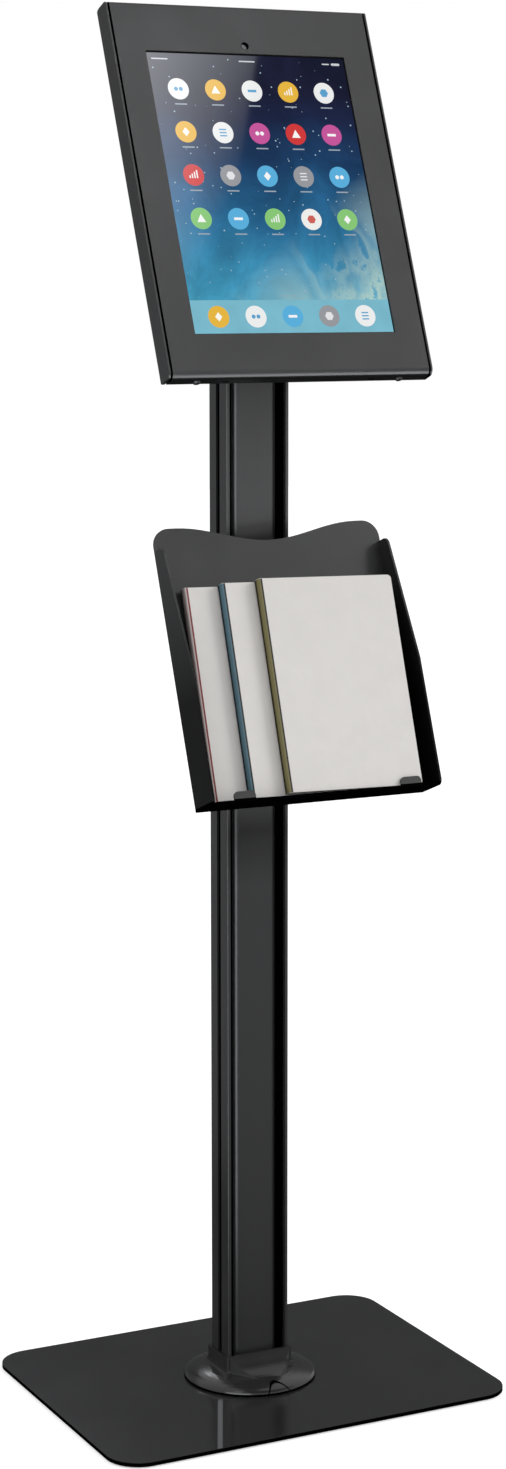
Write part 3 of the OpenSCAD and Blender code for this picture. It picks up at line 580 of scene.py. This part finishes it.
display = {
    "width": 147.6, "height": 196.9, "centreZ": -2.2, "faceY": -42.4, "proud": 0.03,
    "gloss": 0.3, "off": (0.004, 0.004, 0.005, 1), "faint": 0.9, "mottleScale": 60,
    # Tiles in rows, each with a mark on it, a bar below it and the next tone
    "columns": 5, "rows": 4, "pitchX": 27.2, "pitchZ": 30.5, "middleZ": 25.0,
    "tileRadius": 7.6, "markShare": 0.42, "label": (9.0, 0.9), "labelDrop": 10.8,
    "toneStep": 0.382, "toneSeed": 0,
    # A strip at the foot with one more row, and four small dots over it
    "dockHeight": 23.0, "dockFirst": 2, "pageDots": 4, "pageDot": 0.6, "pagePitch": 3.2, "pageRise": 3.0,
    # Dots over the picture, and bars in a line at the top: left end, right end and height
    "dots": 150, "dotSmall": 0.16, "dotLarge": 0.62, "dotSeed": 11, "dotInX": 2.0, "dotInZ": 3.0,
    "status": [(-70.5, -58.5, 0.9), (-6.0, 6.0, 0.9), (57.0, 62.5, 0.9), (64.0, 70.5, 1.7)], "statusZ": 92.0,
}
tileTones = [(0.0, (0.24, 0.56, 0.18)), (0.14, (0.83, 0.84, 0.84)), (0.30, (0.62, 0.04, 0.04)),
             (0.42, (0.10, 0.42, 0.70)), (0.54, (0.85, 0.85, 0.83)), (0.66, (0.78, 0.46, 0.05)),
             (0.78, (0.55, 0.09, 0.32)), (0.90, (0.30, 0.31, 0.33))]
markTones = [(0.0, (0.9, 0.9, 0.9)), (0.14, (0.10, 0.35, 0.60)), (0.30, (0.92, 0.92, 0.9)),
             (0.42, (0.9, 0.9, 0.9)), (0.54, (0.60, 0.12, 0.10)), (0.66, (0.95, 0.93, 0.85)),
             (0.78, (0.92, 0.9, 0.92)), (0.90, (0.75, 0.76, 0.78))]
halfWide = display["width"] / 2
lowZ = display["centreZ"] - display["height"] / 2
faceY = display["faceY"] * mm
proud = display["proud"] * mm
lean = (-math.radians(headLean["tilt"]), 0, 0)

# The picture runs from 0 to 1 across and up: dark at the top over sea colours, with cloud at the lower
# right. "drift" and "slant" are the shares that noise and X add to the height
sky = {
    "rough": 0.035, "drift": 0.34, "driftNoise": {"scale": 1.7, "detail": 2.0, "rough": 0.5},
    "wisps": {"low": 0.72, "high": 1.2, "fromLow": 0.34, "fromHigh": 0.66},
    "wispNoise": {"scale": 2.6, "detail": 8.0, "rough": 0.68, "distortion": 1.4},
    "slant": -0.55, "fade": {"low": 1.0, "high": 0.0, "fromLow": -0.40, "fromHigh": 0.04},
    "near": {"low": 1.0, "high": 0.0, "fromLow": -0.42, "fromHigh": -0.12},
    "puffNoise": {"scale": 4.6, "detail": 7.0, "rough": 0.62}, "cloud": (0.52, 0.68, 0.56, 1),
    "colours": [(0.20, (0.085, 0.42, 0.58)), (0.38, (0.050, 0.30, 0.48)), (0.58, (0.020, 0.135, 0.285)),
                (0.76, (0.010, 0.050, 0.135)), (0.90, (0.009, 0.016, 0.052)), (1.02, (0.008, 0.010, 0.030))],
    "ribbon": {"Scale": 0.75, "Distortion": 4.2, "Detail": 4.0, "Detail Scale": 1.3,
               "Detail Roughness": 0.62},
    "ribbonStops": [(0.30, 0), (0.44, 0.16), (0.50, 0.62), (0.72, 0.30), (1.0, 0.80)],
    "puffStops": [(0.40, 0), (0.475, 0.2), (0.50, 0.9), (0.62, 0.32)],
}


def greyRamp(tree, factor, stops):
    return rampOf(tree, factor, [(position, grey(level)) for position, level in stops])


def pictureColour(tree):
    across, up = display["width"] * mm, display["height"] * mm
    corner = headFrame @ Matrix.Translation((-halfWide * mm, 0, lowZ * mm))
    source = objectSpace(tree, corner, (across, across, up))
    place = addNode(tree, "ShaderNodeSeparateXYZ", {"Vector": source}).outputs
    drift = noiseAt(tree, source, **sky["driftNoise"])
    height = mathOf(tree, "MULTIPLY_ADD", drift, sky["drift"], place["Z"])
    wisps = mapRange(tree, noiseAt(tree, source, **sky["wispNoise"]), **sky["wisps"])
    veined = blendOf(tree, 1.0, rampOf(tree, height, sky["colours"]), wisps, "MULTIPLY")
    slant = mathOf(tree, "MULTIPLY_ADD", place["X"], sky["slant"], place["Z"])
    ribbon = addNode(tree, "ShaderNodeTexWave", dict(sky["ribbon"], Vector=source),
                     wave_type="BANDS", bands_direction="DIAGONAL")
    ribbons = bothOf(tree, greyRamp(tree, ribbon.outputs["Fac"], sky["ribbonStops"]),
                     mapRange(tree, slant, **sky["fade"]))
    puffs = bothOf(tree, greyRamp(tree, noiseAt(tree, source, **sky["puffNoise"]), sky["puffStops"]),
                   mapRange(tree, slant, **sky["near"]))
    return blendOf(tree, eitherOf(tree, ribbons, puffs), veined, sky["cloud"])


def litFinish(name, colourOf, rough=0.05):
    material, tree, shader = newFinish(name)
    feed(tree, shader, {"Emission Color": colourOf(tree), "Emission Strength": 1.0, "Roughness": rough,
                        "Base Color": display["off"], "Specular IOR Level": display["gloss"]})
    return material


def litColour(name, colour):
    def colourOf(tree):
        mottle = noiseAt(tree, objectSpace(tree), display["mottleScale"])
        return twoTones(tree, mottle, shaded(colour, display["faint"]), colour)
    return litFinish(name, colourOf)


def toneFinish(name, stops):
    def colourOf(tree):
        tone = addNode(tree, "ShaderNodeAttribute", attribute_name="tone")
        return rampOf(tree, tone.outputs["Fac"], stops, "CONSTANT")
    return litFinish(name, colourOf)


def displayPlate(name, high, level, finish):
    outline = boxOutline(-halfWide * mm, halfWide * mm, lowZ * mm, (lowZ + high) * mm)
    slab = slabFrom(outline, faceY - (level + 1) * proud, faceY - level * proud, headFrame)
    addPiece(name, meshFrom(name, slab), "enclosure", finish)


displayPlate("display_picture", display["height"], 0,
             litFinish("displayPicture", pictureColour, sky["rough"]))
displayPlate("display_dock", display["dockHeight"], 1, litColour("dockStrip", (0.20, 0.50, 0.62)))


# Marks on the tiles: triangle, rising bars, diamond, two drops, dash, hexagon and three lines
def markOutlines(size):
    s, thin, low = size, size * 0.28, size * -0.7
    rising = [boxOutline(-s + 2 * thin * i, -s + 2 * thin * i + thin, low, low + s * (0.6 + 0.4 * i))
              for i in range(4)]
    lines = [boxOutline(-0.8 * s, 0.8 * s, s * (0.7 - 0.7 * i) - thin / 2, s * (0.7 - 0.7 * i) + thin / 2)
             for i in range(3)]
    return [
        [[(-s, -0.8 * s), (s, -0.8 * s), (0, s)]],
        rising,
        [[(0, -s), (0.8 * s, 0), (0, s), (-0.8 * s, 0)]],
        [roundOutline(0.45 * s, sides=16, centreX=side * 0.55 * s) for side in (-1, 1)],
        [boxOutline(-s, s, -thin, thin)],
        [roundOutline(s, sides=6)],
        lines,
    ]


def shapeSet(name, parts):
    made = bpy.data.collections.new(name + "Set")
    for number, outlines in enumerate(parts):
        whole = bmesh.new()
        for outline in outlines:
            whole.from_mesh(flatMesh(name + "Part", outline, proud))
        partName = "%s%d" % (name, number)
        made.objects.link(bpy.data.objects.new(partName, meshFrom(partName, whole)))
    return made


labelWide, labelHigh = display["label"]
discs = shapeSet("disc", [[roundOutline(display["tileRadius"] * mm, sides=28)]])
marks = shapeSet("mark", markOutlines(display["tileRadius"] * display["markShare"] * mm))
pills = shapeSet("pill", [[pillOutline(-labelWide / 2, labelWide / 2, 0, labelHigh)]])
pageDots = shapeSet("pageDot", [[roundOutline(display["pageDot"] * mm, sides=12)]])
smallDots = shapeSet("dot", [[roundOutline(display["dotLarge"] * mm, sides=10)]])
tileFinish = toneFinish("tileTones", tileTones)
markFinish = toneFinish("markTones", markTones)
labelFinish = litColour("labelTone", (0.34, 0.40, 0.46))
dotFinish = litColour("dotTone", (0.36, 0.50, 0.60))
statusFinish = litColour("statusTone", (0.62, 0.64, 0.68))


def tileBlock(name, shapes, finish, rows, centreZ, level, first=0, columns=display["columns"],
              pitch=display["pitchX"]):
    middle = headFrame @ Vector((0, faceY - level * proud, centreZ * mm))
    values = {"Columns": columns, "Rows": rows, "Pitch X": pitch * mm, "Pitch Z": display["pitchZ"] * mm,
              "Middle": middle, "Lean": lean, "Shapes": shapes, "First Shape": first,
              "Tone Step": display["toneStep"], "Seed": display["toneSeed"]}
    grow(name, tileTree(finish), values, "enclosure")


middleZ, rows, dockFirst = display["middleZ"], display["rows"], display["dockFirst"]
dockTop = lowZ + display["dockHeight"]
dockZ = lowZ + display["dockHeight"] / 2
tileBlock("display_tiles", discs, tileFinish, rows, middleZ, level=1)
tileBlock("display_marks", marks, markFinish, rows, middleZ, level=2)
tileBlock("display_labels", pills, labelFinish, rows, middleZ - display["labelDrop"], level=1)
tileBlock("display_dock_tiles", discs, tileFinish, 1, dockZ, level=2, first=dockFirst)
tileBlock("display_dock_marks", marks, markFinish, 1, dockZ, level=3, first=dockFirst)
tileBlock("display_page_dots", pageDots, labelFinish, 1, dockTop + display["pageRise"], level=1,
          columns=display["pageDots"], pitch=display["pagePitch"])

# Dots all over the picture above the dock, half sunk into the layer of the tiles
dotReach = Vector((halfWide - display["dotInX"], 0,
                   display["height"] / 2 - display["dockHeight"] / 2 - display["dotInZ"])) * mm
dotMiddle = headFrame @ Vector((0, faceY - proud / 2, (display["centreZ"] + display["dockHeight"] / 2) * mm))
grow("display_dots", dotTree(dotFinish),
     {"Count": display["dots"], "Low": -dotReach, "High": dotReach, "Middle": dotMiddle, "Lean": lean,
      "Small": display["dotSmall"] / display["dotLarge"], "Shapes": smallDots, "Seed": display["dotSeed"]},
     "enclosure")

statusLine = bmesh.new()
for x0, x1, high in display["status"]:
    statusLine.from_mesh(flatMesh("statusPill", pillOutline(x0, x1, display["statusZ"], high), proud))
bmesh.ops.transform(statusLine, matrix=headFrame @ Matrix.Translation((0, faceY - proud, 0)),
                    verts=statusLine.verts)
addPiece("display_status", meshFrom("display_status", statusLine), "enclosure", statusFinish)
print("stage 3: display")


# Booklets: a tape round the spine, a thin line beside it, and a stack of single sheets

booklet = {
    "width": 100.0, "height": 145.5, "thick": 7.2, "board": 0.6, "spineRadius": 1.2,
    # Place of the rear one in the frame of the tray, the way from one to the next, and their lean
    "left": -76.0, "inFront": 2.2, "floor": 1.5, "step": 24.0, "gap": 0.3, "lean": 1.2,
    "tapeReach": 1.25, "tapeThick": 0.1, "tapeGap": 0.01, "tapeIn": 0.2, "lineWidth": 1.2, "lineThick": 0.06,
    # Painted shade on the tape, darker from front to back between these depths
    "spineLit": 2.6, "spineDark": 5.0, "spineShade": 0.92,
    # Sheets between the boards, each up to "jitter" nearer to the fold
    "sheets": 22, "sheetThick": 0.2, "pageIn": 1.0, "pageAir": 0.05, "foldIn": 0.35, "foldRoom": 0.5,
    "jitter": 0.35, "seed": 5,
}


def bookFrame(order):
    b = booklet
    right = b["left"] + order * b["step"] + b["width"]
    back = -b["inFront"] - order * (b["thick"] + b["gap"])
    return (trayFrame @ Matrix.Translation((right * mm, back * mm, b["floor"] * mm))
            @ Matrix.Rotation(math.radians(b["lean"]), 4, "Y")
            @ Matrix.Translation((-b["width"] * mm, -b["thick"] * mm, 0)))


def spinePath(offset, steps=6):
    reach, thick, radius = booklet["tapeReach"], booklet["thick"], booklet["spineRadius"]
    points = [(reach, -offset)]
    for centreY, start in ((radius, 270), (thick - radius, 180)):
        for i in range(steps + 1):
            angle = math.radians(start - 90 * i / steps)
            points.append((radius + (radius + offset) * math.cos(angle),
                           centreY + (radius + offset) * math.sin(angle)))
    return points + [(reach, thick + offset)]


# Painted shade on the tape, deepening towards the back of the spine
def spineMask(tree, x, y, z):
    return mapRange(tree, y, 0.0, booklet["spineShade"],
                    fromLow=booklet["spineLit"] * mm, fromHigh=booklet["spineDark"] * mm)


def spineStrip(name, outline, place, body, finish):
    outline = [(x * mm, y * mm) for x, y in outline]
    low, high = booklet["tapeIn"] * mm, (booklet["height"] - booklet["tapeIn"]) * mm
    addPiece(name, meshFrom(name, slabFrom(outline, low, high, place, "xy")), body, finish)


def makeBooklet(order, name, tapeLook, lineLook):
    b = booklet
    place = bookFrame(order)
    body = "booklet_" + name
    tape = spinePath(b["tapeThick"]) + spinePath(b["tapeGap"])[::-1]
    spineStrip(body + "_tape", tape, place, body,
               shadeOut(paperFinish(name + "Tape", tapeLook), spineMask, place))
    line = boxOutline(b["tapeReach"], b["tapeReach"] + b["lineWidth"], -b["lineThick"], 0.0)
    spineStrip(body + "_line", line, place, body, paperFinish(name + "Line", lineLook))
    inner = b["thick"] - 2 * (b["board"] + b["pageAir"])
    step = (inner - b["sheetThick"]) / (b["sheets"] - 1)
    wide = b["width"] - b["board"] - b["pageIn"] - b["foldRoom"]
    size = Vector((wide, b["sheetThick"], b["height"] - 2 * b["pageIn"])) * mm
    first = Vector((b["board"] + b["foldIn"] + wide / 2, b["board"] + b["pageAir"] + b["sheetThick"] / 2,
                    b["height"] / 2)) * mm
    pages = grow(body + "_sheets", pageTree(finishes["pages"]),
                 {"Count": b["sheets"], "Size": size, "Step": step * mm, "Jitter": b["jitter"] * mm,
                  "Seed": b["seed"] + order, "First": first}, body)
    pages.data.transform(place)
    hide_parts(body + "_pages")


makeBooklet(0, "rear", pinkTape, redLine)
makeBooklet(1, "middle", tealTape, darkLine)
makeBooklet(2, "front", oliveTape, darkLine)
print("stage 4: booklets")


# Studio: one soft lamp and an even world

studio = {
    "worldLevel": 0.80,
    "keyPlace": (2.1, -1.5, 1.95), "keyTarget": (0, 0, 0.6), "keySize": (1.0, 1.0), "keyPower": 22,
    "floorHalf": 8.0, "floorColour": 0.80, "floorBounce": 0.45, "floorGlow": 0.52,
    "cardTint": (0.95, 0.97, 1.0, 1),
}


def softLight(name, place, target, size, power):
    data = bpy.data.lights.new(name, "AREA")
    data.shape = "RECTANGLE"
    data.size, data.size_y = size
    data.energy = power
    lamp = bpy.data.objects.new(name, data)
    lamp.location = place
    lamp.rotation_euler = (Vector(target) - Vector(place)).to_track_quat("-Z", "Y").to_euler()
    lamp.visible_camera = False
    bpy.context.collection.objects.link(lamp)


softLight("keyBox", studio["keyPlace"], studio["keyTarget"], studio["keySize"], studio["keyPower"])


# Cards that only reflections see, as flags and strips round a product. A card is a list of faces,
# with one strength for each of their corners

def reflectionCard(name, faces, strengths):
    material, tree = newMaterial(name)
    level = addNode(tree, "ShaderNodeAttribute", attribute_name="strength")
    glow = addNode(tree, "ShaderNodeEmission", {
        "Color": studio["cardTint"], "Strength": mathOf(tree, "MAXIMUM", level.outputs["Fac"], 0.0)})
    addNode(tree, "ShaderNodeOutputMaterial", {"Surface": glow.outputs[0]})
    points, indices = [], []
    for face in faces:
        indices.append(tuple(range(len(points), len(points) + len(face))))
        points += face
    mesh = bpy.data.meshes.new(name)
    mesh.from_pydata(points, [], indices)
    values = mesh.attributes.new("strength", "FLOAT", "POINT")
    for item, strength in zip(values.data, strengths):
        item.value = strength
    card = bpy.data.objects.new(name, mesh)
    bpy.context.collection.objects.link(card)
    dress(card, material)
    card.visible_camera = False
    card.visible_diffuse = False
    card.visible_transmission = False
    card.visible_shadow = False


# The glare card leaves the slanted veil on the glass, brighter across and up it, and the flag behind
# it keeps the rest dark
glare = {
    "middle": (0.7284, -1.0304, 1.8516), "across": (-0.8078, -0.5894, 0.0),
    "upward": (-0.3744, 0.5131, 0.7723),
    "outline": [(-0.145, 0.300), (0.111, -0.097), (0.260, -0.097), (0.260, 0.300)],
    "level": -0.26, "perAcross": 4.277, "perUp": 4.663, "strength": 10.0,
    "flagBack": 0.10, "flagReach": (0.30, 0.36),
}


def makeGlare():
    middle, across, upward = (Vector(glare[key]) for key in ("middle", "across", "upward"))
    back = across.cross(upward).normalized()
    away = 1.0 if back.dot(middle - headFrame.to_translation()) > 0 else -1.0
    veil = [middle + across * u + upward * v for u, v in glare["outline"]]
    levels = [glare["strength"] * max(-1.0, glare["level"] + glare["perAcross"] * u + glare["perUp"] * v)
              for u, v in glare["outline"]]
    reflectionCard("studio_glare", [veil], levels)
    reachU, reachV = glare["flagReach"]
    flag = [middle + across * u + upward * v + back * away * glare["flagBack"]
            for u, v in boxOutline(-reachU, reachU, -reachV, reachV)]
    reflectionCard("studio_glass_flag", [flag], [0.0] * 4)


# Behind the stand: each part goes from left to right, with a level for its floor and for its wall
backFlag = {"start": 0.45, "end": 1.9, "height": 1.5, "lift": 0.002,
            "parts": [(-2.8, -0.2, 0.34, 0.34), (-0.2, 2.8, 0.08, 0.12)]}


def makeBackFlag():
    start, end, low, high = (backFlag[key] for key in ("start", "end", "lift", "height"))
    faces, levels = [], []
    for left, right, floorLevel, wallLevel in backFlag["parts"]:
        faces.append([(left, start, low), (right, start, low), (right, end, low), (left, end, low)])
        faces.append([(left, end, low), (right, end, low), (right, end, high), (left, end, high)])
        levels += [floorLevel] * 4 + [wallLevel] * 4
    reflectionCard("studio_back_flag", faces, levels)


# On the floor before it: a level at each of a few places along Y, blended between them
floorFlag = {"half": 2.8, "lift": 0.001,
             "levels": [(0.45, 0.0), (-0.30, 0.32), (-1.0, 0.46), (-2.2, 0.60), (-4.0, 0.95)]}


def makeFloorFlag():
    half, lift = floorFlag["half"], floorFlag["lift"]
    faces, levels = [], []
    for (nearY, nearLevel), (farY, farLevel) in zip(floorFlag["levels"], floorFlag["levels"][1:]):
        faces.append([(x, y, lift) for x, y in boxOutline(-half, half, farY, nearY)])
        levels += [farLevel, farLevel, nearLevel, nearLevel]
    reflectionCard("studio_floor_flag", faces, levels)


# Strips for the fold of the chin, the long edge of the column, the dome of the collar and the base
# plate, and dark ones behind the chin's and under the tray. Sizes are half lengths
strips = {
    "chin_strip": {"middle": (0.26, -0.40, 0.40), "along": (0.3, 0, 0), "over": (0, 0.2, 0), "level": 8.0},
    "chin_back": {"middle": (0.26, -0.40, 0.399), "along": (0.3, 0, 0), "over": (0, 0.2, 0), "level": 0.0},
    "edge_strip": {"middle": (-0.19, -0.185, 0.42), "along": (0.07, -0.07, 0), "over": (0, 0, 0.4),
                   "level": 5.0},
    "dome_strip": {"middle": (0.50, 1.75, 1.22), "along": (0.09, 0, 0), "over": (0, 0, 0.05), "level": 18.0},
    "dome_spot": {"middle": (0.39, 1.83, 1.16), "along": (0.03, 0, 0), "over": (0, 0, 0.04), "level": 14.0},
    "plate_streak": {"middle": (-0.0574, -0.0689, 0.007), "along": (-0.0193, -0.0392, 0),
                     "over": (-0.0015, 0.0007, 0), "level": 0.6},
    "tray_flag": {"middle": (0, -0.42, 0.36), "along": (0.35, 0, 0), "over": (0, 0.32, 0), "level": 0.0},
}


def makeStrip(name, strip):
    middle, along, over = (Vector(strip[key]) for key in ("middle", "along", "over"))
    corners = [middle + along * u + over * v for u, v in boxOutline(-1, 1, -1, 1)]
    reflectionCard("studio_" + name, [corners], [strip["level"]] * 4)


makeGlare()
makeBackFlag()
makeFloorFlag()
for stripName, strip in strips.items():
    makeStrip(stripName, strip)


# World and floor: white where they are seen, plain where they light the object

def seenDirectly(tree):
    path = addNode(tree, "ShaderNodeLightPath").outputs
    mirrored = eitherOf(tree, path["Is Camera Ray"], path["Is Glossy Ray"])
    return eitherOf(tree, mirrored, path["Is Transmission Ray"])


def makeWorld():
    world = bpy.data.worlds.new("studioWorld")
    bpy.context.scene.world = world
    world.use_nodes = True
    tree = world.node_tree
    tree.nodes.clear()
    shown = addNode(tree, "ShaderNodeBackground", {"Color": (*grey(1), 1), "Strength": 1.0})
    lit = addNode(tree, "ShaderNodeBackground", {"Color": (*grey(1), 1), "Strength": studio["worldLevel"]})
    choose = addNode(tree, "ShaderNodeMixShader",
                     {0: seenDirectly(tree), 1: lit.outputs[0], 2: shown.outputs[0]})
    addNode(tree, "ShaderNodeOutputWorld", {"Surface": choose.outputs[0]})


def floorFinish():
    material, tree = newMaterial("studioFloor")
    matte = addNode(tree, "ShaderNodeBsdfDiffuse", {"Color": (*grey(studio["floorColour"]), 1)})
    bounce = addNode(tree, "ShaderNodeBsdfDiffuse", {"Color": (*grey(studio["floorBounce"]), 1)})
    glow = addNode(tree, "ShaderNodeEmission", {"Color": (*grey(1), 1), "Strength": studio["floorGlow"]})
    bright = addNode(tree, "ShaderNodeAddShader", {0: matte.outputs[0], 1: glow.outputs[0]})
    choose = addNode(tree, "ShaderNodeMixShader",
                     {0: seenDirectly(tree), 1: bounce.outputs[0], 2: bright.outputs[0]})
    addNode(tree, "ShaderNodeOutputMaterial", {"Surface": choose.outputs[0]})
    return material


def makeFloor():
    half = studio["floorHalf"]
    mesh = bpy.data.meshes.new("studioFloor")
    mesh.from_pydata([(x, y, 0) for x, y in boxOutline(-half, half, -half, half)], [], [(0, 1, 2, 3)])
    floor = bpy.data.objects.new("studio_floor", mesh)
    bpy.context.collection.objects.link(floor)
    dress(floor, floorFinish())


makeWorld()
makeFloor()
bpy.context.scene.view_settings.view_transform = "Standard"
print("stage 5: studio")
